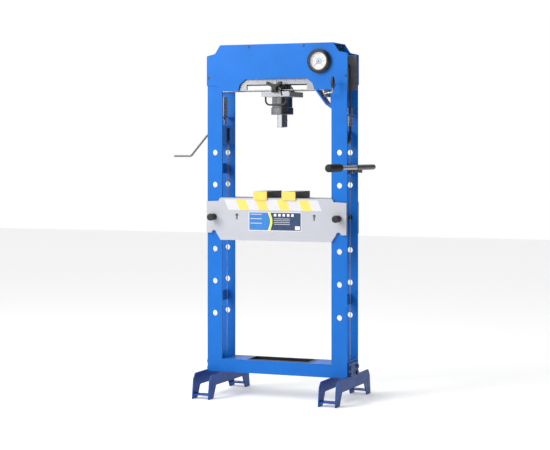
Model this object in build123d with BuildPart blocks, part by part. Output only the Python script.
from build123d import *

import os
from math import cos, radians, sin, tan

# Hydraulic shop press: two plate columns, a crosshead with a sliding ram carriage, a pinned
# table lifted by a rope winch, a hand pump on the right column and two arched feet.
# Millimetres, +Z up.  The press is drawn about its own centre plane and floor, and
# is moved at the end so that the origin is the middle of its footprint.

# ---- driving sizes --------------------------------------------------------------------
# columns
COLUMN_SPACING = 660.0
COLUMN_DEPTH = 164.0
PLATE_W = 80.0
PLATE_T = 8.0
HOLE_PITCH = 160.0
HOLE_ROWS = 6
PIN_HOLE_D = 28.0
LOW_ROW_UP = 292.0
TIE_T = 6.0
TIE_H = 51.0

# feet and base
FOOT_H = 116.0
FOOT_LEN = 510.0
FOOT_PLATE_T = 6.0
FOOT_LEG_W = 55.0
FOOT_ARCH_H = 62.0
FOOT_SHOULDER_H = 8.0
FOOT_RADIUS = 20.0
STRAP_T = 6.0
STRAP_UP = 18.0
STRAP_W = 53.0
ANCHOR_D = 14.0
BEAM_H = 65.0
DECK_T = 5.0
TRAY_LEN = 320.0
TRAY_W = 112.0
TRAY_DEEP = 26.0
TRAY_WALL = 2.0
TRAY_RIM = 7.0
BOLT_D = 12.0
BOLT_HEAD_AF = 19.0
BOLT_HEAD_H = 8.0
END_PLATE_T = 8.0
END_PLATE_H = 80.0
OUTER_BOLT_Y = 48.0
INNER_BOLT_Y = 60.0
BOLT_ROWS = (14.0, 46.0)

# head
HEAD_CLEAR = 306.0
HEAD_H = 229.0
CROSSHEAD_T = 12.0
COVER_T = 3.0
COVER_SIDE_LAP = 3.0
CORNER_DROP = 54.0
CORNER_IN = 73.0
SIDE_LIFT = 27.0
SLOT_LEN = 320.0
REAR_SLOT_LEN = 470.0
SLOT_H = 26.0
SLOT_SILL = 4.0
WINDOW_TOP_W = 324.0
WINDOW_LOW_W = 406.0
WINDOW_H = 57.0
REAR_WINDOW_EXTRA = 84.0
SCREW_D = 6.0
SCREW_HEAD_D = 11.0

# ram carriage and cylinder
CARRIAGE_LEN = 150.0
CARRIAGE_T = 25.0
CARRIAGE_DROP = 6.0
TAB_W = 60.0
TAB_T = 5.0
TAB_CLEAR = 2.0
TAB_PEAK = 46.0
ROLLER_CLEAR = 0.6
STUD_D = 12.0
BARREL_D = 103.0
BARREL_LEN = 52.0
GLAND_D = 112.0
GLAND_LEN = 36.0
BORE_D = 72.0
NECK_D = 90.0
NECK_UP = 184.0
BORE_TOP = 8.0
RAM_D = 52.0
RAM_OUT = 63.0
PISTON_H = 12.0
RUN_CLEAR = 0.05
SPRING_WIRE = 5.0
SPRING_TURNS = 14
HANDLE_D = 9.0
HANDLE_SPAN = 108.0
HANDLE_DROP = 40.0
KNOB_ARM = 46.0

# table
TABLE_T = 10.0
TABLE_GAP = 1.0
TABLE_UP = 96.0
TABLE_DOWN = 114.0
EAR_UP = 77.0
EAR_DOWN = 79.0
EAR_NOTCH_R = 13.0
PIN_ROW = 2
PIN_D = 25.0
BUSH_D = 33.0
BUSH_LEN = 15.0
PIN_STROKE = 15.0
KNOB_D = 36.0
KNOB_LEN = 18.0
SPACER_T = 10.0
TUBE_D = 42.0
ARBOR_LEN = 72.0
ARBOR_H = 33.0
ARBOR_CAP_T = 7.0
ARBOR_LIP = 9.0
ARBOR_X = (-78.0, 73.0)
ARBOR_GAP = 0.2

# rope, winch and pulleys
ROPE_D = 4.0
ROPE_Y = 30.0
ROPE_A_IN = 14.0
ROPE_B_IN = 22.0
PULLEY_R = 20.0
PULLEY_RIM = 4.0
PULLEY_W = 14.0
AXLE_D = 8.0
RIGHT_RUN_IN = 57.0
TOP_PULLEY_UP = 67.0
LOW_PULLEY_UP = 27.0
CHEEK_T = 3.0
WINCH_UP = 92.0
WINCH_PLATE_H = 93.0
WINCH_SHAFT_D = 16.0
DRUM_FLANGE_R = 38.0
CRANK_D = 10.0
CRANK_THROW = 110.0
CRANK_REACH = 210.0
SHELF_T = 5.0
SHELF_UP = 175.0
SLEEVE_D = 23.0
SLEEVE_LEN = 100.0
TERMINAL_D = 9.0

# hand pump and its line
PUMP_SHAFT_D = 20.0
BOSS_D = 44.0
LEVER_OUT = 26.0
LEVER_RISE = 8.0
LEVER_D = 22.0
SOCKET_D = 27.0
GRIP_D = 38.0
GRIP_END_Y = -411.0
GRIP_LEN = 162.0
SOCKET_END_Y = 235.0
PUMP_ARM = 20.0
YOKE_W = 32.0
PLUNGER_D = 14.0
HOSE_D = 12.0
FERRULE_D = 23.0
FERRULE_LEN = 53.0
FITTING_OUT = 28.0
NUT_AF = 23.0
NUT_H = 31.0
PIPE_D = 10.0

# gauge and release valve
GAUGE_X = 230.0
GAUGE_UP = 139.0
GAUGE_D = 118.0
DIAL_D = 87.0
GAUGE_PROUD = 24.0
BRACE_W = 70.0
BRACE_T = 5.0
BRACE_DROP = 93.0
BRACE_REACH = 80.0

# ---- places worked out from the sizes above -------------------------------------------
COL_X = COLUMN_SPACING / 2
INNER_X = COL_X - PLATE_W / 2
OUTER_X = COL_X + PLATE_W / 2
ROPE_A_X = -INNER_X - ROPE_A_IN
ROPE_B_X = -INNER_X - ROPE_B_IN
RIGHT_RUN_X = INNER_X + RIGHT_RUN_IN
LEVER_X = OUTER_X + LEVER_OUT
FITTING_X = COL_X + FITTING_OUT
FACE_Y = COLUMN_DEPTH / 2
BACK_Y = FACE_Y - PLATE_T
BASE_Z = FOOT_H
DECK_Z = BASE_Z + BEAM_H
LOW_ROW_Z = BASE_Z + LOW_ROW_UP
TOP_ROW_Z = LOW_ROW_Z + (HOLE_ROWS - 1) * HOLE_PITCH
HEAD_Z = TOP_ROW_Z + HEAD_CLEAR
HEAD_TOP_Z = HEAD_Z + HEAD_H
COLUMN_TOP_Z = HEAD_TOP_Z - CORNER_DROP - COVER_T
PIN_Z = TOP_ROW_Z - PIN_ROW * HOLE_PITCH
UPPER_TIE_Z = TOP_ROW_Z - HOLE_PITCH / 2
LOWER_TIE_Z = LOW_ROW_Z + HOLE_PITCH / 2
SLOT_Z = HEAD_Z + SLOT_SILL + SLOT_H / 2
CARRIAGE_TOP_Z = HEAD_Z - CARRIAGE_DROP
CARRIAGE_LOW_Z = CARRIAGE_TOP_Z - CARRIAGE_T
COVER_Y = FACE_Y + COVER_T
TAB_Y = COVER_Y + TAB_CLEAR
BARREL_LOW_Z = CARRIAGE_LOW_Z - BARREL_LEN
GLAND_LOW_Z = BARREL_LOW_Z - GLAND_LEN
RAM_LOW_Z = GLAND_LOW_Z - RAM_OUT
NECK_TOP_Z = CARRIAGE_TOP_Z + NECK_UP
BORE_TOP_Z = NECK_TOP_Z - BORE_TOP
GLAND_STEP_Z = BARREL_LOW_Z - GLAND_LEN / 2
TABLE_TOP_Z = PIN_Z + TABLE_UP
TABLE_IN_Y = FACE_Y + TABLE_GAP
TABLE_OUT_Y = TABLE_IN_Y + TABLE_T
SPACER_X = INNER_X - 18.0
WINCH_Z = TOP_ROW_Z + WINCH_UP
TOP_PULLEY_Z = TOP_ROW_Z + TOP_PULLEY_UP
LOW_PULLEY_Z = BASE_Z + LOW_PULLEY_UP
LEFT_PULLEY_X = ROPE_B_X + PULLEY_R
RIGHT_PULLEY_X = RIGHT_RUN_X - PULLEY_R
ROPE_C_X = RIGHT_PULLEY_X - PULLEY_R
LUG_Z = PIN_Z + 8.0
LUG_T = 8.0
TERMINAL_TOP_Z = LUG_Z + 34.0
SHELF_Z = TOP_ROW_Z + SHELF_UP
FERRULE_TOP_Z = SHELF_Z + 7.0
PUMP_Z = UPPER_TIE_Z
PUMP_X = INNER_X + 21.0
ARM_X = PUMP_X + 5.0
PLUNGER_X = ARM_X - PLUNGER_D / 2 - 2.0
GAUGE_Z = HEAD_Z + GAUGE_UP
HOSE_Y = -50.0
HOSE_X = PUMP_X + 5.0
PUMP_TOP_Z = PUMP_Z - 27.0

pieces = []


def keep(part, label):
    """Label a finished piece and keep it for writing."""
    part.label = label
    pieces.append(part)


def facing(y):
    """Upright plane at depth y, whose extrusions run towards the front."""
    return Plane.XZ.offset(-y)


def sideways(x):
    """Upright plane at x, drawn in (Y, Z), whose extrusions run towards +X."""
    return Plane.YZ.offset(x)


def both_sides(distance):
    return (-distance, distance)


# ---- columns ---------------------------------------------------------------------------
ROWS_Z = [LOW_ROW_Z + row * HOLE_PITCH for row in range(HOLE_ROWS)]
with BuildPart() as column_plates:
    plate_h = COLUMN_TOP_Z - BASE_Z
    for back in (-BACK_Y, FACE_Y):
        for column_x in (-COL_X, COL_X):
            with BuildSketch(facing(back)):
                with Locations((column_x, BASE_Z + plate_h / 2)):
                    Rectangle(PLATE_W, plate_h)
                with Locations([(column_x, row_z) for row_z in ROWS_Z]):
                    Circle(PIN_HOLE_D / 2, mode=Mode.SUBTRACT)
            extrude(amount=PLATE_T)
keep(column_plates.part, "column_plates")

with BuildPart() as ties:
    for column_x in both_sides(COL_X):
        for tie_z in (LOWER_TIE_Z, UPPER_TIE_Z):
            with BuildSketch(sideways(column_x - TIE_T / 2)):
                with Locations((0, tie_z)):
                    Rectangle(2 * BACK_Y, TIE_H)
                    if column_x > 0 and tie_z == UPPER_TIE_Z:
                        Circle(PUMP_SHAFT_D / 2 + 1, mode=Mode.SUBTRACT)
            extrude(amount=TIE_T)
    # shelf of the winch hanger, left, and of the hose fitting, right
    with BuildSketch(Plane.XY.offset(SHELF_Z)):
        with Locations((-COL_X + PLATE_W / 4, 0)):
            Rectangle(PLATE_W / 2 - 2, 2 * BACK_Y)
        with Locations((-COL_X + PLATE_W / 4, 0)):
            Circle(BOLT_D / 2 + 0.3, mode=Mode.SUBTRACT)
    extrude(amount=SHELF_T)
    with BuildSketch(Plane.XY.offset(FERRULE_TOP_Z)):
        with Locations((COL_X + PLATE_W / 4, 0)):
            Rectangle(PLATE_W / 2 - 2, 2 * BACK_Y)
        with Locations((FITTING_X, 0)):
            Circle(PIPE_D / 2 + 0.3, mode=Mode.SUBTRACT)
    extrude(amount=SHELF_T)
keep(ties.part, "column_ties")

# ---- base ------------------------------------------------------------------------------
with BuildPart() as beams:
    for back in (-BACK_Y, FACE_Y):
        with BuildSketch(facing(back)):
            with Locations((0, BASE_Z + BEAM_H / 2)):
                Rectangle(2 * INNER_X, BEAM_H)
        extrude(amount=PLATE_T)

with BuildPart() as deck:
    with BuildSketch(Plane.XY.offset(DECK_Z - DECK_T)):
        Rectangle(2 * INNER_X, 2 * BACK_Y)
        Rectangle(TRAY_LEN + 1, TRAY_W + 1, mode=Mode.SUBTRACT)
    extrude(amount=DECK_T)

with BuildPart() as tray:
    with BuildSketch(Plane.XY.offset(DECK_Z - TRAY_DEEP)):
        RectangleRounded(TRAY_LEN, TRAY_W, 12)
    extrude(amount=TRAY_DEEP)
    with BuildSketch(Plane.XY.offset(DECK_Z)):
        RectangleRounded(TRAY_LEN + 2 * TRAY_RIM, TRAY_W + 2 * TRAY_RIM, 14)
    extrude(amount=TRAY_WALL)
    with BuildSketch(Plane.XY.offset(DECK_Z - TRAY_DEEP + TRAY_WALL)):
        RectangleRounded(TRAY_LEN - 2 * TRAY_WALL, TRAY_W - 2 * TRAY_WALL, 10)
    extrude(amount=TRAY_DEEP + TRAY_WALL, mode=Mode.SUBTRACT)
keep(tray.part, "base_tray")

ROPE_SLOT_W = PULLEY_W + 2 * CHEEK_T + 10.0


def bolt_places(bolt_y):
    return [(y, BASE_Z + row) for y in both_sides(bolt_y) for row in BOLT_ROWS]


with BuildPart() as end_plates:
    for side in (-1, 1):
        outer = side * (OUTER_X - END_PLATE_T / 2) - END_PLATE_T / 2
        with BuildSketch(sideways(outer)):
            with Locations((0, BASE_Z + END_PLATE_H / 2)):
                Rectangle(2 * BACK_Y, END_PLATE_H)
            with Locations(bolt_places(OUTER_BOLT_Y)):
                Circle(BOLT_D / 2 + 0.4, mode=Mode.SUBTRACT)
        extrude(amount=END_PLATE_T)
        inner = side * (INNER_X + END_PLATE_T / 2) - END_PLATE_T / 2
        inner_h = BEAM_H - DECK_T
        with BuildSketch(sideways(inner)):
            with Locations((0, BASE_Z + inner_h / 2)):
                Rectangle(2 * BACK_Y, inner_h)
            with Locations((ROPE_Y, BASE_Z + inner_h / 2)):
                Rectangle(ROPE_SLOT_W, inner_h, mode=Mode.SUBTRACT)
            with Locations(bolt_places(INNER_BOLT_Y)):
                Circle(BOLT_D / 2 + 0.4, mode=Mode.SUBTRACT)
        extrude(amount=END_PLATE_T)
keep(Compound(children=[beams.part, deck.part, end_plates.part]), "base_frame")


# ---- feet ------------------------------------------------------------------------------
def foot_outline(shoulder_z):
    """Arched foot plate in (Y, Z): two splayed legs under a straight back."""
    toe = FOOT_LEN / 2
    heel = toe - FOOT_LEG_W
    crown = heel - 35.0
    with BuildLine() as outline:
        Polyline(
            (0, FOOT_ARCH_H), (crown, FOOT_ARCH_H), (heel, 0), (toe, 0),
            (toe - 14, 0.78 * shoulder_z), (toe - 36, shoulder_z), (0, shoulder_z),
        )
        mirror(about=Plane.YZ)
    return outline.line


def foot(side):
    """One foot: inner and outer arch plates joined by two low straps."""
    outer = side * (OUTER_X + FOOT_PLATE_T / 2) - FOOT_PLATE_T / 2
    inner = side * (INNER_X - FOOT_PLATE_T / 2) - FOOT_PLATE_T / 2
    tongue_h = END_PLATE_H - 8
    inner_tongue_h = BEAM_H - DECK_T - 4
    with BuildPart() as body:
        with BuildSketch(sideways(outer)):
            add(foot_outline(FOOT_H + FOOT_SHOULDER_H))
            make_face()
            with Locations((0, BASE_Z + tongue_h / 2)):
                Rectangle(2 * BACK_Y - 12, tongue_h)
            with Locations(bolt_places(OUTER_BOLT_Y)):
                Circle(BOLT_D / 2 + 0.4, mode=Mode.SUBTRACT)
        extrude(amount=FOOT_PLATE_T)
        with BuildSketch(sideways(inner)):
            add(foot_outline(FOOT_H))
            make_face()
            with Locations((0, BASE_Z + inner_tongue_h / 2)):
                Rectangle(2 * BACK_Y - 2, inner_tongue_h)
            with Locations((ROPE_Y, BASE_Z + inner_tongue_h / 2)):
                Rectangle(ROPE_SLOT_W, inner_tongue_h, mode=Mode.SUBTRACT)
            with Locations(bolt_places(INNER_BOLT_Y)):
                Circle(BOLT_D / 2 + 0.4, mode=Mode.SUBTRACT)
        extrude(amount=FOOT_PLATE_T)
        shoulders = [
            edge for edge in body.edges().filter_by(Axis.X)
            if abs(abs(edge.center().Y) - FOOT_LEN / 2 + 25) < 15 and edge.center().Z > 0.7 * FOOT_H
        ]
        fillet(shoulders, radius=FOOT_RADIUS / 2)
        strap_y = FOOT_LEN / 2 - FOOT_LEG_W / 2 - 6
        with BuildSketch(Plane.XY.offset(STRAP_UP)):
            for y in both_sides(strap_y):
                with Locations((side * COL_X, y)):
                    Rectangle(PLATE_W, STRAP_W)
                    Circle(ANCHOR_D / 2, mode=Mode.SUBTRACT)
        extrude(amount=STRAP_T)
    return body.part


keep(foot(-1), "foot_left")
keep(foot(1), "foot_right")


def foot_bolt(x, y, z, direction, grip):
    """Hexagon bolt with its nut run up: the head faces -direction along X."""
    head_plane = Plane(origin=(x, y, z), x_dir=(0, 1, 0), z_dir=(direction, 0, 0))
    with BuildPart(mode=Mode.PRIVATE) as bolt:
        with BuildSketch(head_plane):
            RegularPolygon(BOLT_HEAD_AF / 2, 6, major_radius=False)
        extrude(amount=-BOLT_HEAD_H)
        with BuildSketch(head_plane):
            Circle(BOLT_D / 2)
        extrude(amount=grip + BOLT_HEAD_H + 5)
        with BuildSketch(head_plane.offset(grip)):
            RegularPolygon(BOLT_HEAD_AF / 2, 6, major_radius=False)
        extrude(amount=BOLT_HEAD_H)
    return bolt.part


bolts = []
for side in (-1, 1):
    grip = FOOT_PLATE_T + END_PLATE_T
    for bolt_y, bolt_z in bolt_places(OUTER_BOLT_Y):
        bolts.append(foot_bolt(side * (OUTER_X + FOOT_PLATE_T), bolt_y, bolt_z, -side, grip))
    for bolt_y, bolt_z in bolt_places(INNER_BOLT_Y):
        bolts.append(foot_bolt(side * (INNER_X - FOOT_PLATE_T), bolt_y, bolt_z, side, grip))
keep(Compound(children=bolts), "foot_bolts")


# ---- head ------------------------------------------------------------------------------
def slotted_plate(back, slot_len, gauge_hole):
    """Crosshead plate with the carriage slot just above its lower edge."""
    height = HEAD_H - COVER_T
    with BuildPart() as plate:
        with BuildSketch(facing(back)):
            with Locations((0, HEAD_Z + height / 2)):
                Rectangle(2 * INNER_X - 1, height)
            with Locations((0, (HEAD_Z + COLUMN_TOP_Z) / 2)):
                Rectangle(2 * OUTER_X - 4, COLUMN_TOP_Z - HEAD_Z)
            with Locations((0, SLOT_Z)):
                Rectangle(slot_len, SLOT_H, mode=Mode.SUBTRACT)
            if gauge_hole:
                with Locations((GAUGE_X, GAUGE_Z)):
                    Circle(12, mode=Mode.SUBTRACT)
        extrude(amount=CROSSHEAD_T)
    return plate.part


crossheads = [
    slotted_plate(-BACK_Y + CROSSHEAD_T, SLOT_LEN, True),
    slotted_plate(BACK_Y, REAR_SLOT_LEN, False),
]
keep(Compound(children=crossheads), "crosshead_plates")


def cover_outline():
    """Head cover: cut top corners, S-shaped lower corners over the columns."""
    side_x = OUTER_X + COVER_SIDE_LAP
    shoulder_z = HEAD_TOP_Z - CORNER_DROP
    side_z = HEAD_Z + SIDE_LIFT
    with BuildLine() as outline:
        Line((0, HEAD_TOP_Z), (side_x - CORNER_IN, HEAD_TOP_Z))
        Line((side_x - CORNER_IN, HEAD_TOP_Z), (side_x - 48, HEAD_TOP_Z - 38))
        Spline(
            (side_x - 48, HEAD_TOP_Z - 38), (side_x - 24, HEAD_TOP_Z - 48), (side_x, shoulder_z),
            tangents=[(10, -16), (10, -3)],
        )
        Line((side_x, shoulder_z), (side_x, side_z))
        Line((side_x, side_z), (COL_X - 12, side_z))
        Spline((COL_X - 12, side_z), (INNER_X, HEAD_Z), tangents=[(-1, -0.2), (-1, -0.1)])
        Line((INNER_X, HEAD_Z), (0, HEAD_Z))
        mirror(about=Plane.YZ)
    return outline.line


def window_outline(extra):
    """Opening in the cover, wider at the bottom, that shows the slot."""
    low = WINDOW_LOW_W / 2 + extra / 2
    top = WINDOW_TOP_W / 2 + extra / 2
    with BuildLine() as outline:
        Polyline(
            (0, HEAD_Z), (low, HEAD_Z), (low - 10, HEAD_Z + 0.55 * WINDOW_H),
            (top, HEAD_Z + WINDOW_H), (-top, HEAD_Z + WINDOW_H), (-low + 10, HEAD_Z + 0.55 * WINDOW_H),
            (-low, HEAD_Z), (0, HEAD_Z),
        )
    return outline.line


SCREW_PLACES = [
    (x, z)
    for x, z in (
        (-145, HEAD_TOP_Z - 12), (145, HEAD_TOP_Z - 12),
        (-OUTER_X + 6, HEAD_Z + 67), (OUTER_X - 6, HEAD_Z + 67),
    )
]


def cover(back, window_extra, gauge_hole):
    with BuildPart() as panel:
        with BuildSketch(facing(back)):
            add(cover_outline())
            make_face()
            add(window_outline(window_extra))
            make_face(mode=Mode.SUBTRACT)
            with Locations(SCREW_PLACES):
                Circle(SCREW_D / 2 + 0.3, mode=Mode.SUBTRACT)
            if gauge_hole:
                with Locations((GAUGE_X, GAUGE_Z)):
                    Circle(DIAL_D / 2 + 4, mode=Mode.SUBTRACT)
        extrude(amount=COVER_T)
    return panel.part


keep(
    Compound(children=[cover(-FACE_Y, 0, True), cover(COVER_Y, REAR_WINDOW_EXTRA, False)]),
    "head_covers",
)

with BuildPart() as top_plate:
    with BuildSketch(Plane.XY.offset(HEAD_TOP_Z - COVER_T)):
        Rectangle(2 * (OUTER_X + COVER_SIDE_LAP - CORNER_IN) - 4, 2 * FACE_Y)
    extrude(amount=COVER_T)
keep(top_plate.part, "head_top_plate")


def cover_screw(x, z, side):
    """Button-head screw of a head cover, with a spacer where no column backs the cover."""
    backed = abs(x) > INNER_X
    face = Plane(origin=(x, side * COVER_Y, z), x_dir=(1, 0, 0), z_dir=(0, side, 0))
    with BuildPart(mode=Mode.PRIVATE) as screw:
        with BuildSketch(face):
            Circle(SCREW_HEAD_D / 2)
        extrude(amount=3.4)
        fillet(screw.edges().sort_by(Axis.Y)[-1 if side > 0 else 0], radius=2.2)
        with BuildSketch(face):
            Circle(SCREW_D / 2)
        extrude(amount=-COVER_T)
        if not backed:
            with BuildSketch(face.offset(-COVER_T)):
                Circle(SCREW_HEAD_D / 2 + 1)
            extrude(amount=-PLATE_T)
    return screw.part


screws = [cover_screw(x, z, side) for side in (-1, 1) for x, z in SCREW_PLACES]
keep(Compound(children=screws), "cover_screws")

# ---- ram carriage ----------------------------------------------------------------------
with BuildPart() as carriage:
    with BuildSketch(Plane.XY.offset(CARRIAGE_LOW_Z)):
        Rectangle(CARRIAGE_LEN, 2 * (TAB_Y + TAB_T))
        Circle(NECK_D / 2, mode=Mode.SUBTRACT)
    extrude(amount=CARRIAGE_T)
    for side in (-1, 1):
        with BuildSketch(Plane(origin=(0, side * TAB_Y, 0), x_dir=(1, 0, 0), z_dir=(0, -1, 0))):
            with BuildLine():
                Polyline(
                    (0, SLOT_Z + TAB_PEAK - 16), (TAB_W / 2, SLOT_Z - 14), (TAB_W / 2, CARRIAGE_TOP_Z - 2),
                    (-TAB_W / 2, CARRIAGE_TOP_Z - 2), (-TAB_W / 2, SLOT_Z - 14), (0, SLOT_Z + TAB_PEAK - 16),
                )
            make_face()
            with Locations((0, SLOT_Z)):
                Circle(STUD_D / 2 + RUN_CLEAR, mode=Mode.SUBTRACT)
        extrude(amount=-side * TAB_T)
keep(carriage.part, "carriage_plate")

ROLLER_D = SLOT_H - 2 * ROLLER_CLEAR
INNER_FACE_Y = BACK_Y - CROSSHEAD_T


def slot_roller(side):
    """Headed bush that runs in the crosshead slot and hangs the carriage from it."""
    axis = Plane(origin=(0, side * TAB_Y, SLOT_Z), x_dir=(1, 0, 0), z_dir=(0, -side, 0))
    reach = TAB_Y - INNER_FACE_Y
    with BuildPart(mode=Mode.PRIVATE) as roller:
        with BuildSketch(axis.offset(0.3)):
            Circle(ROLLER_D / 2)
        extrude(amount=reach + 0.3)
        with BuildSketch(axis.offset(reach + 0.6)):
            Circle(ROLLER_D / 2 + 6)
        extrude(amount=4)
        with BuildSketch(axis.offset(0.3)):
            Circle(STUD_D / 2 + RUN_CLEAR)
        extrude(amount=reach + 5, mode=Mode.SUBTRACT)
    return roller.part


keep(Compound(children=[slot_roller(-1), slot_roller(1)]), "slot_rollers")

with BuildPart() as handle:
    corner = HANDLE_DROP * 0.55
    half = HANDLE_SPAN / 2
    handle_y = -TAB_Y + 3
    with BuildLine() as bow:
        FilletPolyline(
            (-half, handle_y, CARRIAGE_LOW_Z),
            (-half, handle_y, CARRIAGE_LOW_Z - HANDLE_DROP),
            (half, handle_y, CARRIAGE_LOW_Z - HANDLE_DROP),
            (half, handle_y, CARRIAGE_LOW_Z),
            radius=corner,
        )
    with BuildSketch(Plane(origin=(-half, handle_y, CARRIAGE_LOW_Z), z_dir=(0, 0, -1))):
        Circle(HANDLE_D / 2)
    sweep(path=bow.wires()[0])
keep(handle.part, "carriage_handle")

with BuildPart() as barrel:
    with BuildSketch(Plane.XY.offset(BARREL_LOW_Z)):
        Circle(BARREL_D / 2)
    extrude(amount=BARREL_LEN)
    with BuildSketch(Plane.XY.offset(CARRIAGE_LOW_Z)):
        Circle(NECK_D / 2)
    extrude(amount=NECK_TOP_Z - CARRIAGE_LOW_Z)
    chamfer(barrel.edges().sort_by(Axis.Z)[-1], length=3)
    with BuildSketch(Plane.XY.offset(BARREL_LOW_Z)):
        Circle(BORE_D / 2)
    extrude(amount=BORE_TOP_Z - BARREL_LOW_Z, mode=Mode.SUBTRACT)
keep(barrel.part, "cylinder_barrel")

with BuildPart() as gland:
    with BuildSketch(Plane.XY.offset(GLAND_LOW_Z)):
        Circle(GLAND_D / 2)
    extrude(amount=GLAND_LEN)
    chamfer(gland.edges().filter_by(GeomType.CIRCLE), length=2.5)
    with BuildSketch(Plane.XY.offset(GLAND_LOW_Z)):
        Circle(RAM_D / 2 + RUN_CLEAR)
    extrude(amount=GLAND_LEN, mode=Mode.SUBTRACT)
    with BuildSketch(Plane.XY.offset(GLAND_STEP_Z)):
        Circle(BORE_D / 2)
    extrude(amount=GLAND_LEN, mode=Mode.SUBTRACT)
keep(gland.part, "gland_nut")

PISTON_LOW_Z = BORE_TOP_Z - 1.0 - PISTON_H
with BuildPart() as ram:
    with BuildSketch(Plane.XY.offset(RAM_LOW_Z)):
        Circle(RAM_D / 2)
    extrude(amount=PISTON_LOW_Z - RAM_LOW_Z + 1)
    chamfer(ram.edges().sort_by(Axis.Z)[0], length=2)
    with BuildSketch(Plane.XY.offset(PISTON_LOW_Z)):
        Circle(BORE_D / 2 - RUN_CLEAR)
    extrude(amount=PISTON_H)
    with BuildSketch(Plane.YZ.offset(RAM_D / 2 - 6)):
        with Locations((0, RAM_LOW_Z + RAM_OUT / 2)):
            Circle(4.1)
    extrude(amount=10, mode=Mode.SUBTRACT)
    with BuildSketch(Plane.YZ.offset(RAM_D / 2 - 5.5)):
        with Locations((0, RAM_LOW_Z + RAM_OUT / 2)):
            RegularPolygon(3.9, 6)
    extrude(amount=8)
keep(ram.part, "ram")

SPRING_LOW_Z = GLAND_STEP_Z + 0.3
SPRING_TOP_Z = PISTON_LOW_Z - 0.3
with BuildPart() as spring:
    coil_r = (RAM_D + BORE_D) / 4
    rise = SPRING_TOP_Z - SPRING_LOW_Z - SPRING_WIRE
    with BuildLine() as coil:
        Helix(pitch=rise / SPRING_TURNS, height=rise, radius=coil_r,
              center=(0, 0, SPRING_LOW_Z + SPRING_WIRE / 2))
    with BuildSketch(Plane(origin=coil.line @ 0, z_dir=coil.line % 0)):
        Circle(SPRING_WIRE / 2)
    sweep(path=coil.wires()[0], is_frenet=True)
keep(spring.part, "return_spring")

KNOB_BACK_Y = TAB_Y + TAB_T
KNOB_ARMS = ((28.0, 1.0, 15.0), (152.0, 1.0, 15.0), (248.0, 0.66, 12.0), (292.0, 0.66, 12.0))
with BuildPart() as clamp_knob:
    with BuildSketch(facing(-KNOB_BACK_Y - 6)):
        with Locations((0, SLOT_Z)):
            Circle(14)
        for angle, share, width in KNOB_ARMS:
            reach = KNOB_ARM * share - width / 2
            tip = (reach * cos(radians(angle)), SLOT_Z + reach * sin(radians(angle)))
            SlotCenterPoint(((tip[0]) / 2, (SLOT_Z + tip[1]) / 2), tip, width)
    extrude(amount=16)
    fillet(clamp_knob.faces().sort_by(Axis.Y)[0].edges(), radius=3)
    with BuildSketch(facing(-KNOB_BACK_Y - 0.4)):
        with Locations((0, SLOT_Z)):
            Circle(11)
    extrude(amount=6)
    with BuildSketch(facing(-INNER_FACE_Y + 5)):
        with Locations((0, SLOT_Z)):
            Circle(STUD_D / 2)
    extrude(amount=KNOB_BACK_Y - INNER_FACE_Y + 10)
keep(clamp_knob.part, "clamp_knob")

with BuildPart() as rear_stud:
    with BuildSketch(facing(INNER_FACE_Y - 5)):
        with Locations((0, SLOT_Z)):
            Circle(STUD_D / 2)
    extrude(amount=-(TAB_Y + TAB_T - INNER_FACE_Y + 6))
    with BuildSketch(facing(TAB_Y + TAB_T)):
        with Locations((0, SLOT_Z)):
            RegularPolygon(10, 6)
    extrude(amount=-8)
keep(rear_stud.part, "rear_stud")


# ---- table -----------------------------------------------------------------------------
def table_outline():
    """Table plate with ears that lap over the columns, and a notch under each ear."""
    with BuildLine() as outline:
        Line((0, PIN_Z + TABLE_UP), (INNER_X, PIN_Z + TABLE_UP))
        RadiusArc((INNER_X, PIN_Z + TABLE_UP), (INNER_X + 14, PIN_Z + EAR_UP + 3), 16)
        Line((INNER_X + 14, PIN_Z + EAR_UP + 3), (OUTER_X, PIN_Z + EAR_UP))
        Line((OUTER_X, PIN_Z + EAR_UP), (OUTER_X, PIN_Z - EAR_DOWN))
        Line((OUTER_X, PIN_Z - EAR_DOWN), (COL_X + EAR_NOTCH_R, PIN_Z - EAR_DOWN))
        ThreePointArc(
            (COL_X + EAR_NOTCH_R, PIN_Z - EAR_DOWN), (COL_X, PIN_Z - EAR_DOWN + EAR_NOTCH_R),
            (COL_X - EAR_NOTCH_R, PIN_Z - EAR_DOWN),
        )
        Line((COL_X - EAR_NOTCH_R, PIN_Z - EAR_DOWN), (INNER_X + 3, PIN_Z - TABLE_DOWN))
        Line((INNER_X + 3, PIN_Z - TABLE_DOWN), (0, PIN_Z - TABLE_DOWN))
        mirror(about=Plane.YZ)
    return outline.line


KEYHOLE_X = 205.0
KEYHOLE_R = 8.0
KEYHOLE_UP = 11.0
KEYHOLE_NECK = (8.0, 24.0)


def table_plate(back):
    with BuildPart() as plate:
        with BuildSketch(facing(back)):
            add(table_outline())
            make_face()
            with Locations((-COL_X, PIN_Z), (COL_X, PIN_Z)):
                Circle(PIN_D / 2 + 0.4, mode=Mode.SUBTRACT)
            with Locations((-KEYHOLE_X, PIN_Z + KEYHOLE_UP), (KEYHOLE_X, PIN_Z + KEYHOLE_UP)):
                Circle(KEYHOLE_R, mode=Mode.SUBTRACT)
            with Locations((-KEYHOLE_X, PIN_Z + 1), (KEYHOLE_X, PIN_Z + 1)):
                Rectangle(*KEYHOLE_NECK, mode=Mode.SUBTRACT)
        extrude(amount=TABLE_T)
    return plate.part


keep(Compound(children=[table_plate(-TABLE_IN_Y), table_plate(TABLE_OUT_Y)]), "table_plates")

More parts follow.
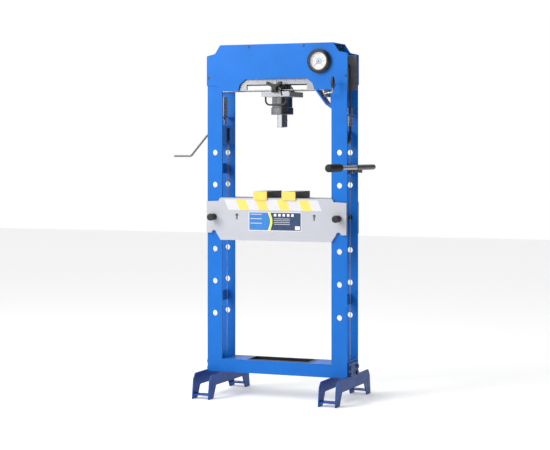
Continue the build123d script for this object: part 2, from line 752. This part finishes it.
with BuildPart() as spacers:
    spacer_h = TABLE_UP + TABLE_DOWN - 60
    for side in (-1, 1):
        with BuildSketch(sideways(side * SPACER_X - SPACER_T / 2)):
            with Locations((0, PIN_Z - 12)):
                Rectangle(2 * TABLE_IN_Y, spacer_h)
        extrude(amount=SPACER_T)
    with BuildSketch(facing(TABLE_IN_Y)):
        with Locations((-120, PIN_Z - 30), (120, PIN_Z - 30)):
            Circle(TUBE_D / 2)
            Circle(TUBE_D / 2 - 5, mode=Mode.SUBTRACT)
    extrude(amount=2 * TABLE_IN_Y)
keep(spacers.part, "table_spacers")


def rope_lug(side, rope_x):
    """Lug from a table spacer into the column, with the rope's screwed terminal."""
    start = side * (SPACER_X + SPACER_T / 2)
    end = rope_x + side * (TERMINAL_D / 2 + 1.0)
    with BuildPart(mode=Mode.PRIVATE) as lug:
        with BuildSketch(Plane.XY.offset(LUG_Z)):
            with Locations(((start + end) / 2, ROPE_Y)):
                Rectangle(abs(end - start), 20)
        extrude(amount=LUG_T)
        with BuildSketch(Plane.XY.offset(LUG_Z - 16)):
            with Locations((rope_x, ROPE_Y)):
                Circle(TERMINAL_D / 2)
        extrude(amount=TERMINAL_TOP_Z - LUG_Z + 16)
    return lug.part


keep(Compound(children=[rope_lug(-1, ROPE_A_X), rope_lug(1, ROPE_C_X)]), "rope_lugs")

with BuildPart() as bushes:
    for side in (-1, 1):
        for column_x in both_sides(COL_X):
            face = Plane(origin=(column_x, side * TABLE_OUT_Y, PIN_Z), x_dir=(1, 0, 0), z_dir=(0, side, 0))
            with BuildSketch(face):
                Circle(BUSH_D / 2)
                Circle(PIN_D / 2 + RUN_CLEAR, mode=Mode.SUBTRACT)
            extrude(amount=BUSH_LEN)
keep(bushes.part, "pin_bushes")


def lock_pin(side, column_x):
    """Table pin, drawn back, with its round knob outside the bush."""
    tip = Plane(origin=(column_x, side * (TABLE_IN_Y + 0.5), PIN_Z), x_dir=(1, 0, 0), z_dir=(0, side, 0))
    shaft_len = TABLE_T + BUSH_LEN + PIN_STROKE + 1.0
    with BuildPart() as pin:
        with BuildSketch(tip):
            Circle(PIN_D / 2)
        extrude(amount=shaft_len)
        chamfer(pin.edges().sort_by(Axis.Y)[0 if side > 0 else -1], length=1.5)
        with BuildSketch(tip.offset(shaft_len)):
            Circle(KNOB_D / 2)
        extrude(amount=KNOB_LEN)
        ends = pin.edges().filter_by(GeomType.CIRCLE).filter_by(lambda e: abs(e.radius - KNOB_D / 2) < 0.1)
        fillet(ends, radius=5)
    return pin.part


PIN_NAMES = {(-1, -1): "front_left", (-1, 1): "front_right", (1, -1): "rear_left", (1, 1): "rear_right"}
for (pin_side, pin_column), pin_name in PIN_NAMES.items():
    keep(lock_pin(pin_side, pin_column * COL_X), "lock_pin_" + pin_name)


def arbor_plate(centre_x):
    """Bench block across the two table plates, with a capped lip over each plate."""
    low = TABLE_TOP_Z + ARBOR_GAP
    body_half = TABLE_OUT_Y + 1.0
    with BuildPart(mode=Mode.PRIVATE) as block:
        with BuildSketch(Plane.XY.offset(low)):
            with Locations((centre_x, 0)):
                Rectangle(ARBOR_LEN - 2, 2 * body_half)
        extrude(amount=ARBOR_H)
        chamfer(block.edges().filter_by(Axis.Y).group_by(Axis.Z)[-1], length=1.5)
    with BuildPart(mode=Mode.PRIVATE) as caps:
        for side in (-1, 1):
            with BuildSketch(facing(side * (body_half + ARBOR_CAP_T / 2) + ARBOR_CAP_T / 2)):
                with Locations((centre_x, low + (ARBOR_H - ARBOR_LIP) / 2)):
                    Rectangle(ARBOR_LEN, ARBOR_H + ARBOR_LIP)
            extrude(amount=ARBOR_CAP_T)
    return Compound(children=[block.part, caps.part])


for arbor_x, arbor_name in zip(ARBOR_X, ("left", "right")):
    keep(arbor_plate(arbor_x), "arbor_plate_" + arbor_name)

# ---- winch -----------------------------------------------------------------------------
WINCH_MID_X = -COL_X - 1.0
WINCH_INNER_X = -INNER_X - 5.0
with BuildPart() as winch_plates:
    for plate_x in (-OUTER_X, WINCH_MID_X, WINCH_INNER_X):
        with BuildSketch(sideways(plate_x)):
            with Locations((0, WINCH_Z - 3)):
                Rectangle(2 * BACK_Y, WINCH_PLATE_H)
            if plate_x == WINCH_INNER_X:
                with Locations((-6, WINCH_Z - 9)):
                    Rectangle(44, WINCH_PLATE_H - 12, mode=Mode.SUBTRACT)
            else:
                with Locations((0, WINCH_Z)):
                    Circle(WINCH_SHAFT_D / 2 + RUN_CLEAR, mode=Mode.SUBTRACT)
        extrude(amount=5)
keep(winch_plates.part, "winch_plates")

DRUM_LEFT_X = ROPE_B_X - 7.0
DRUM_RIGHT_X = ROPE_A_X + 5.0
DRUM_R = ROPE_Y - ROPE_D / 2 - 0.2
with BuildPart() as drum:
    with BuildSketch(sideways(DRUM_LEFT_X)):
        with Locations((0, WINCH_Z)):
            Circle(DRUM_R)
    extrude(amount=DRUM_RIGHT_X - DRUM_LEFT_X)
    for flange_x in (DRUM_LEFT_X - 2, DRUM_RIGHT_X):
        with BuildSketch(sideways(flange_x)):
            with Locations((0, WINCH_Z)):
                Circle(DRUM_FLANGE_R)
        extrude(amount=2)
    with BuildSketch(sideways(-OUTER_X - 14)):
        with Locations((0, WINCH_Z)):
            Circle(WINCH_SHAFT_D / 2)
    extrude(amount=DRUM_LEFT_X + OUTER_X + 14)
    with BuildSketch(sideways(-OUTER_X + 8)):
        with Locations((0, WINCH_Z)):
            Circle(34)
    extrude(amount=16)
keep(drum.part, "winch_drum")

with BuildPart() as rope_coil:
    for coil_x, coil_w in ((DRUM_LEFT_X + 0.2, 3.6), (ROPE_B_X + 2.3, 3.4)):
        with BuildSketch(sideways(coil_x)):
            with Locations((0, WINCH_Z)):
                Circle(DRUM_R + ROPE_D)
                Circle(DRUM_R, mode=Mode.SUBTRACT)
        extrude(amount=coil_w)
keep(rope_coil.part, "rope_coil")

CRANK_START_X = -OUTER_X - 14.0
CRANK_END_X = CRANK_START_X - CRANK_REACH
with BuildPart() as crank:
    with BuildLine() as crank_path:
        FilletPolyline(
            (CRANK_START_X, 0, WINCH_Z), (CRANK_START_X - 20, 0, WINCH_Z),
            (CRANK_START_X - 116, 0, WINCH_Z - CRANK_THROW), (CRANK_END_X, 0, WINCH_Z - CRANK_THROW),
            radius=14,
        )
    with BuildSketch(Plane(origin=(CRANK_START_X, 0, WINCH_Z), z_dir=(-1, 0, 0))):
        Circle(CRANK_D / 2)
    sweep(path=crank_path.wires()[0])
keep(crank.part, "winch_crank")

HANGER_X = -COL_X + PLATE_W / 4
with BuildPart() as hanger:
    with BuildSketch(Plane.XY.offset(SHELF_Z + SHELF_T)):
        with Locations((HANGER_X, 0)):
            Circle(SLEEVE_D / 2)
    extrude(amount=SLEEVE_LEN)
    chamfer(hanger.edges().sort_by(Axis.Z)[-1], length=1.5)
    with BuildSketch(Plane.XY.offset(SHELF_Z - 34)):
        with Locations((HANGER_X, 0)):
            Circle(BOLT_D / 2)
    extrude(amount=40)
    with BuildSketch(Plane.XY.offset(SHELF_Z - 9)):
        with Locations((HANGER_X, 0)):
            RegularPolygon(BOLT_HEAD_AF / 2, 6, major_radius=False)
    extrude(amount=9)
keep(hanger.part, "winch_hanger")


# ---- pulleys and rope ------------------------------------------------------------------
def pulley(centre_x, centre_z):
    """Grooved pulley on an axle along Y."""
    rim = PULLEY_R + PULLEY_RIM
    groove = ROPE_D / 2 + 0.4
    with BuildPart() as wheel:
        with BuildSketch(Plane.XY):
            with BuildLine():
                Polyline(
                    (AXLE_D / 2 + RUN_CLEAR, -PULLEY_W / 2), (rim, -PULLEY_W / 2), (rim, -groove - 1.2),
                    (PULLEY_R, -groove),
                )
                ThreePointArc((PULLEY_R, -groove), (PULLEY_R - groove, 0), (PULLEY_R, groove))
                Polyline(
                    (PULLEY_R, groove), (rim, groove + 1.2), (rim, PULLEY_W / 2),
                    (AXLE_D / 2 + RUN_CLEAR, PULLEY_W / 2), (AXLE_D / 2 + RUN_CLEAR, -PULLEY_W / 2),
                )
            make_face()
        revolve(axis=Axis.Y)
    return Location((centre_x, ROPE_Y, centre_z)) * wheel.part


keep(pulley(LEFT_PULLEY_X, LOW_PULLEY_Z), "pulley_low_left")
keep(pulley(RIGHT_PULLEY_X, LOW_PULLEY_Z), "pulley_low_right")
keep(pulley(RIGHT_PULLEY_X, TOP_PULLEY_Z), "pulley_top_right")


ROPE_HOLE_D = 12.0


def pulley_bracket(centre_x, centre_z, web_low_z, web_x0, web_x1, web_depth, web_t):
    """Two cheeks with an axle between them, hung from a web plate that clears the right rope."""
    cheek_h = web_low_z - centre_z + 12
    inner = PULLEY_W / 2 + 0.5
    with BuildPart(mode=Mode.PRIVATE) as bracket:
        for cheek_y in (ROPE_Y - inner, ROPE_Y + inner + CHEEK_T):
            with BuildSketch(facing(cheek_y)):
                with Locations((centre_x, centre_z - 12 + cheek_h / 2)):
                    Rectangle(24, cheek_h)
            extrude(amount=CHEEK_T)
        with BuildSketch(facing(ROPE_Y + inner + CHEEK_T)):
            with Locations((centre_x, centre_z)):
                Circle(AXLE_D / 2)
        extrude(amount=2 * (inner + CHEEK_T))
        with BuildSketch(Plane.XY.offset(web_low_z)):
            with Locations(((web_x0 + web_x1) / 2, ROPE_Y if web_depth < BACK_Y else 0)):
                Rectangle(abs(web_x1 - web_x0), web_depth)
            with Locations((RIGHT_PULLEY_X + PULLEY_R, ROPE_Y)):
                Circle(ROPE_HOLE_D / 2, mode=Mode.SUBTRACT)
        extrude(amount=web_t)
    return bracket.part


WEB_DEPTH = PULLEY_W + 2 * CHEEK_T + 1.0
LOW_WEB_Z = DECK_Z - DECK_T - 4.0
brackets = [
    pulley_bracket(LEFT_PULLEY_X, LOW_PULLEY_Z, LOW_WEB_Z, LEFT_PULLEY_X - 12, -INNER_X + 40, WEB_DEPTH, 4),
    pulley_bracket(RIGHT_PULLEY_X, LOW_PULLEY_Z, LOW_WEB_Z, RIGHT_PULLEY_X - 12,
                   OUTER_X - END_PLATE_T, WEB_DEPTH, 4),
    pulley_bracket(RIGHT_PULLEY_X, TOP_PULLEY_Z, TOP_PULLEY_Z + 30, RIGHT_PULLEY_X - 10,
                   RIGHT_PULLEY_X + 10, 2 * BACK_Y, 8),
]
keep(Compound(children=brackets), "pulley_brackets")


# from the drum down the left column, through the base, up the right column and over
with BuildPart() as rope_run:
    low_z = LOW_PULLEY_Z - PULLEY_R
    with BuildLine() as run_path:
        Line((ROPE_B_X, ROPE_Y, WINCH_Z), (ROPE_B_X, ROPE_Y, LOW_PULLEY_Z))
        ThreePointArc(
            (ROPE_B_X, ROPE_Y, LOW_PULLEY_Z),
            (LEFT_PULLEY_X - PULLEY_R * cos(radians(45)), ROPE_Y, LOW_PULLEY_Z - PULLEY_R * sin(radians(45))),
            (LEFT_PULLEY_X, ROPE_Y, low_z),
        )
        Line((LEFT_PULLEY_X, ROPE_Y, low_z), (RIGHT_PULLEY_X, ROPE_Y, low_z))
        ThreePointArc(
            (RIGHT_PULLEY_X, ROPE_Y, low_z),
            (RIGHT_PULLEY_X + PULLEY_R * cos(radians(45)), ROPE_Y, LOW_PULLEY_Z - PULLEY_R * sin(radians(45))),
            (RIGHT_RUN_X, ROPE_Y, LOW_PULLEY_Z),
        )
        Line((RIGHT_RUN_X, ROPE_Y, LOW_PULLEY_Z), (RIGHT_RUN_X, ROPE_Y, TOP_PULLEY_Z))
        ThreePointArc(
            (RIGHT_RUN_X, ROPE_Y, TOP_PULLEY_Z), (RIGHT_PULLEY_X, ROPE_Y, TOP_PULLEY_Z + PULLEY_R),
            (ROPE_C_X, ROPE_Y, TOP_PULLEY_Z),
        )
    with BuildSketch(Plane(origin=(ROPE_B_X, ROPE_Y, WINCH_Z), z_dir=(0, 0, -1))):
        Circle(ROPE_D / 2)
    sweep(path=run_path.wires()[0])
keep(rope_run.part, "rope_run")


def rope_drop(rope_x, top_z):
    """Straight rope from the drum or the top pulley to a table terminal."""
    with BuildPart() as drop:
        with BuildSketch(Plane.XY.offset(TERMINAL_TOP_Z)):
            with Locations((rope_x, ROPE_Y)):
                Circle(ROPE_D / 2)
        extrude(amount=top_z - TERMINAL_TOP_Z)
    return drop.part


keep(rope_drop(ROPE_A_X, WINCH_Z), "rope_left")
keep(rope_drop(ROPE_C_X, TOP_PULLEY_Z), "rope_right")

# ---- hand pump -------------------------------------------------------------------------
PUMP_H = 29.0
PLUNGER_FLOOR = 11.0
PUMP_LOW_Z = PUMP_TOP_Z - PUMP_H
PUMP_BACK_Y = 8.0
PUMP_FRONT_Y = -BACK_Y
TIE_FACE_X = COL_X + TIE_T / 2
with BuildPart() as pump_body:
    pump_x0 = PUMP_X - 15
    pump_x1 = COL_X - TIE_T / 2
    with BuildSketch(Plane.XY.offset(PUMP_LOW_Z)):
        with Locations(((pump_x0 + pump_x1) / 2, (PUMP_BACK_Y + PUMP_FRONT_Y) / 2)):
            RectangleRounded(pump_x1 - pump_x0, PUMP_BACK_Y - PUMP_FRONT_Y, 3)
        with Locations((PLUNGER_X, -PUMP_ARM)):
            Circle(PLUNGER_D / 2 + RUN_CLEAR, mode=Mode.SUBTRACT)
    extrude(amount=PUMP_TOP_Z - PUMP_LOW_Z)
    with BuildSketch(Plane.XY.offset(PUMP_LOW_Z - 6)):
        with Locations(((pump_x0 + pump_x1) / 2, (PUMP_BACK_Y + PUMP_FRONT_Y) / 2)):
            Rectangle(pump_x1 - pump_x0 - 6, PUMP_BACK_Y - PUMP_FRONT_Y - 6)
    extrude(amount=6)
keep(pump_body.part, "pump_body")

with BuildPart() as boss:
    boss_len = OUTER_X + 6 - TIE_FACE_X
    with BuildSketch(sideways(TIE_FACE_X)):
        with Locations((0, PUMP_Z)):
            Circle(BOSS_D / 2)
            Circle(PUMP_SHAFT_D / 2 + RUN_CLEAR, mode=Mode.SUBTRACT)
    extrude(amount=boss_len)
    chamfer(boss.edges().filter_by(GeomType.CIRCLE).group_by(Axis.X)[-1], length=1.5)
keep(boss.part, "pump_bearing")

HUB_X = OUTER_X + 7.0
LEVER_Z = PUMP_Z + LEVER_RISE
with BuildPart() as socket:
    # shaft through the bearing, with the inner arm and its drive pin
    with BuildSketch(sideways(ARM_X)):
        with Locations((0, PUMP_Z)):
            Circle(PUMP_SHAFT_D / 2)
    extrude(amount=HUB_X + 6 - ARM_X)
    with BuildSketch(sideways(ARM_X)):
        with Locations((-PUMP_ARM / 2, PUMP_Z)):
            SlotCenterToCenter(PUMP_ARM, 22)
    extrude(amount=6)
    with BuildSketch(sideways(PUMP_X - 8)):
        with Locations((-PUMP_ARM, PUMP_Z)):
            Circle(4)
    extrude(amount=15)
    # hub plate and the tube that takes the lever bar
    with BuildSketch(sideways(HUB_X)):
        with BuildLine():
            Polyline((-18, PUMP_Z - 14), (96, PUMP_Z - 20), (100, PUMP_Z + 10), (-18, PUMP_Z + 16), close=True)
        make_face()
    extrude(amount=LEVER_X - SOCKET_D / 2 - HUB_X + 4)
    with BuildSketch(facing(SOCKET_END_Y)):
        with Locations((LEVER_X, LEVER_Z)):
            Circle(SOCKET_D / 2)
    extrude(amount=SOCKET_END_Y + 21)
    with BuildSketch(facing(SOCKET_END_Y)):
        with Locations((LEVER_X, LEVER_Z)):
            Circle(LEVER_D / 2 + 0.2)
    extrude(amount=SOCKET_END_Y + 21, mode=Mode.SUBTRACT)
keep(socket.part, "lever_socket")

with BuildPart() as lever_bar:
    with BuildSketch(facing(90)):
        with Locations((LEVER_X, LEVER_Z)):
            Circle(LEVER_D / 2)
    extrude(amount=90 - GRIP_END_Y - 5)
keep(lever_bar.part, "lever_bar")

with BuildPart() as lever_grip:
    with BuildSketch(facing(GRIP_END_Y + GRIP_LEN)):
        with Locations((LEVER_X, LEVER_Z)):
            Circle(GRIP_D / 2)
    extrude(amount=GRIP_LEN)
    fillet(lever_grip.edges().filter_by(GeomType.CIRCLE), radius=7)
    with BuildSketch(facing(GRIP_END_Y + GRIP_LEN)):
        with Locations((LEVER_X, LEVER_Z)):
            Circle(LEVER_D / 2)
    extrude(amount=GRIP_LEN - 5, mode=Mode.SUBTRACT)
keep(lever_grip.part, "lever_grip")

YOKE_T = 10.0
with BuildPart() as plunger:
    with BuildSketch(Plane.XY.offset(PUMP_LOW_Z + PLUNGER_FLOOR)):
        with Locations((PLUNGER_X, -PUMP_ARM)):
            Circle(PLUNGER_D / 2)
    extrude(amount=PUMP_Z - 10 - PUMP_LOW_Z - PLUNGER_FLOOR)
    with BuildSketch(sideways(PLUNGER_X - YOKE_T / 2)):
        with Locations((-PUMP_ARM, PUMP_Z)):
            RectangleRounded(YOKE_W, 24, 4)
            SlotOverall(26, 9.8, mode=Mode.SUBTRACT)
    extrude(amount=YOKE_T)
keep(plunger.part, "pump_plunger")

# flexible hose from the pump up to the fitting under the right shelf
FITTING_LOW_Z = FERRULE_TOP_Z - FERRULE_LEN


def arc_radii(points):
    """Largest arc at each inner point that leaves a tenth of the shorter run straight."""
    radii = []
    for before, corner, after in zip(points, points[1:], points[2:]):
        first = Vector(*corner) - Vector(*before)
        second = Vector(*after) - Vector(*corner)
        turn = radians(first.get_angle(second))
        radii.append(0.45 * min(first.length, second.length) / tan(turn / 2))
    return radii


hose_points = [
    (HOSE_X, HOSE_Y, PUMP_TOP_Z),
    (HOSE_X, HOSE_Y, PUMP_TOP_Z + 59),
    (HOSE_X + 29, HOSE_Y, PUMP_TOP_Z + 97),
    (HOSE_X + 31, HOSE_Y + 10, PUMP_TOP_Z + 139),
    (FITTING_X - 2, HOSE_Y + 38, FITTING_LOW_Z - 52),
    (FITTING_X, 0, FITTING_LOW_Z - 27),
    (FITTING_X, 0, FITTING_LOW_Z),
]
with BuildPart() as hose:
    with BuildLine() as hose_path:
        FilletPolyline(*hose_points, radius=arc_radii(hose_points))
    with BuildSketch(Plane(origin=(HOSE_X, HOSE_Y, PUMP_TOP_Z), z_dir=(0, 0, 1))):
        Circle(HOSE_D / 2)
    sweep(path=hose_path.wires()[0])
keep(hose.part, "pump_hose")

with BuildPart() as fitting:
    with BuildSketch(Plane.XY.offset(FITTING_LOW_Z)):
        with Locations((FITTING_X, 0)):
            Circle(FERRULE_D / 2)
    extrude(amount=FERRULE_LEN)
    chamfer(fitting.edges().filter_by(GeomType.CIRCLE), length=1.2)
    with BuildSketch(Plane.XY.offset(FERRULE_TOP_Z)):
        with Locations((FITTING_X, 0)):
            Circle(PIPE_D / 2)
    extrude(amount=SHELF_T)
    with BuildSketch(Plane.XY.offset(FERRULE_TOP_Z + SHELF_T)):
        with Locations((FITTING_X, 0)):
            RegularPolygon(NUT_AF / 2, 6, major_radius=False)
    extrude(amount=NUT_H)
keep(fitting.part, "hose_fitting")

MANIFOLD_HALF = 18.0
with BuildPart() as pipe:
    nut_top = FERRULE_TOP_Z + SHELF_T + NUT_H
    with BuildLine() as pipe_path:
        FilletPolyline(
            (FITTING_X, 0, nut_top), (FITTING_X, 0, GAUGE_Z), (GAUGE_X + MANIFOLD_HALF, 0, GAUGE_Z),
            radius=40,
        )
    with BuildSketch(Plane(origin=(FITTING_X, 0, nut_top), z_dir=(0, 0, 1))):
        Circle(PIPE_D / 2)
    sweep(path=pipe_path.wires()[0])
    with BuildSketch(Plane.XY.offset(GAUGE_Z - MANIFOLD_HALF)):
        with Locations((GAUGE_X, 0)):
            Rectangle(2 * MANIFOLD_HALF, 2 * MANIFOLD_HALF)
    extrude(amount=2 * MANIFOLD_HALF)
keep(pipe.part, "pressure_pipe")

# ---- gauge -----------------------------------------------------------------------------
CASE_BACK_Y = -BACK_Y - 1.0
GAUGE_FRONT_Y = -COVER_Y - GAUGE_PROUD
DIAL_Y = -COVER_Y - 10.0
with BuildPart() as gauge_case:
    with BuildSketch(facing(-COVER_Y)):
        with Locations((GAUGE_X, GAUGE_Z)):
            Circle(GAUGE_D / 2)
    extrude(amount=GAUGE_PROUD)
    chamfer(gauge_case.edges().filter_by(GeomType.CIRCLE).group_by(Axis.Y)[0], length=9)
    with BuildSketch(facing(DIAL_Y)):
        with Locations((GAUGE_X, GAUGE_Z)):
            Circle(DIAL_D / 2)
    extrude(amount=GAUGE_PROUD, mode=Mode.SUBTRACT)
    with BuildSketch(facing(CASE_BACK_Y)):
        with Locations((GAUGE_X, GAUGE_Z)):
            Circle(DIAL_D / 2 + 3)
    extrude(amount=COVER_Y + CASE_BACK_Y)
    extrude_len = -MANIFOLD_HALF - CASE_BACK_Y
    with BuildSketch(facing(-MANIFOLD_HALF)):
        with Locations((GAUGE_X, GAUGE_Z)):
            Circle(8)
    extrude(amount=extrude_len)
keep(gauge_case.part, "gauge_case")

with BuildPart() as dial:
    with BuildSketch(facing(DIAL_Y)):
        with Locations((GAUGE_X, GAUGE_Z)):
            Circle(DIAL_D / 2 - 0.5)
    extrude(amount=1)
keep(dial.part, "gauge_dial")

with BuildPart() as lens:
    with BuildSketch(facing(GAUGE_FRONT_Y + 4)):
        with Locations((GAUGE_X, GAUGE_Z)):
            Circle(DIAL_D / 2 - 0.2)
    extrude(amount=2)
keep(lens.part, "gauge_lens")

NEEDLE_ANGLE = 225.0
with BuildPart() as needle:
    with BuildSketch(facing(DIAL_Y - 2.5)):
        with Locations((GAUGE_X, GAUGE_Z)):
            Circle(4)
        tip_x = GAUGE_X + 36 * cos(radians(NEEDLE_ANGLE))
        tip_z = GAUGE_Z + 36 * sin(radians(NEEDLE_ANGLE))
        side_x = 1.6 * sin(radians(NEEDLE_ANGLE))
        side_z = 1.6 * cos(radians(NEEDLE_ANGLE))
        with BuildLine():
            Polyline(
                (tip_x, tip_z), (GAUGE_X - side_x, GAUGE_Z + side_z),
                (GAUGE_X + side_x, GAUGE_Z - side_z), (tip_x, tip_z),
            )
        make_face()
    extrude(amount=1.2)
keep(needle.part, "gauge_needle")

# ---- release valve ---------------------------------------------------------------------
BRACE_LOW_Z = HEAD_Z - BRACE_DROP
BRACE_OUT_X = INNER_X - BRACE_REACH
with BuildPart() as brace:
    with BuildSketch(facing(-FACE_Y + BRACE_W)):
        with BuildLine():
            Polyline(
                (INNER_X, HEAD_Z), (INNER_X, BRACE_LOW_Z), (INNER_X - 30, BRACE_LOW_Z + 20),
                (BRACE_OUT_X, HEAD_Z - 8), (BRACE_OUT_X, HEAD_Z), (BRACE_OUT_X + BRACE_T, HEAD_Z),
                (INNER_X - 26, BRACE_LOW_Z + 23), (INNER_X - BRACE_T, BRACE_LOW_Z + 9),
                (INNER_X - BRACE_T, HEAD_Z), (INNER_X, HEAD_Z),
            )
        make_face()
    extrude(amount=BRACE_W)
keep(brace.part, "corner_brace")

VALVE_X = INNER_X - 27.0
VALVE_Z = HEAD_Z - 22.0
SPINDLE_D = 10.0
SPINDLE_BACK_Y = 24.0 - BACK_Y
with BuildPart() as valve:
    with BuildSketch(facing(-BACK_Y + 44)):
        with Locations((VALVE_X, VALVE_Z + 4)):
            RectangleRounded(28, 36, 3)
    extrude(amount=44)
    with BuildSketch(facing(SPINDLE_BACK_Y)):
        with Locations((VALVE_X, VALVE_Z)):
            Circle(SPINDLE_D / 2 + RUN_CLEAR)
    extrude(amount=40, mode=Mode.SUBTRACT)
keep(valve.part, "release_valve")

RELEASE_X = INNER_X + 24.0
RELEASE_Y = -FACE_Y - 46.0
RELEASE_KNOB_LOW_Z = HEAD_Z + 2.0
RELEASE_KNOB_H = 60.0
with BuildPart() as release_lever:
    with BuildSketch(facing(SPINDLE_BACK_Y - 0.5)):
        with Locations((VALVE_X, VALVE_Z)):
            Circle(SPINDLE_D / 2)
    extrude(amount=50)
    lever_start = (VALVE_X, SPINDLE_BACK_Y - 50, VALVE_Z)
    with BuildLine() as release_path:
        FilletPolyline(
            lever_start, (VALVE_X, SPINDLE_BACK_Y - 66, VALVE_Z),
            (RELEASE_X, RELEASE_Y, VALVE_Z + 8), (RELEASE_X, RELEASE_Y, RELEASE_KNOB_LOW_Z + 4),
            radius=6,
        )
    with BuildSketch(Plane(origin=lever_start, z_dir=(0, -1, 0))):
        Circle(4)
    sweep(path=release_path.wires()[0])
keep(release_lever.part, "release_lever")

with BuildPart() as release_knob:
    knob_mid_z = RELEASE_KNOB_LOW_Z + RELEASE_KNOB_H / 2
    with BuildSketch(facing(RELEASE_Y)):
        with Locations((RELEASE_X, knob_mid_z)):
            Ellipse(10, RELEASE_KNOB_H / 2)
        with Locations((RELEASE_X - 10, knob_mid_z)):
            Rectangle(20, RELEASE_KNOB_H, mode=Mode.SUBTRACT)
    revolve(axis=Axis(origin=(RELEASE_X, RELEASE_Y, 0), direction=(0, 0, 1)))
    with BuildSketch(Plane.XY.offset(RELEASE_KNOB_LOW_Z - 1)):
        with Locations((RELEASE_X, RELEASE_Y)):
            Circle(4)
    extrude(amount=5, mode=Mode.SUBTRACT)
keep(release_knob.part, "release_knob")

# ---- origin at the middle of the footprint, then one file for each piece ----------------
ORIGIN_X = (CRANK_END_X + LEVER_X + GRIP_D / 2) / 2
ORIGIN_Y = (GRIP_END_Y + FOOT_LEN / 2) / 2

os.makedirs("parts", exist_ok=True)
for piece in pieces:
    placed = piece.moved(Location((-ORIGIN_X, -ORIGIN_Y, 0)))
    placed.label = piece.label
    export_step(placed, "parts/" + piece.label + ".step")
print("pieces", len(pieces), "origin", ORIGIN_X, ORIGIN_Y)
print("hose radii", [round(radius, 1) for radius in arc_radii(hose_points)])
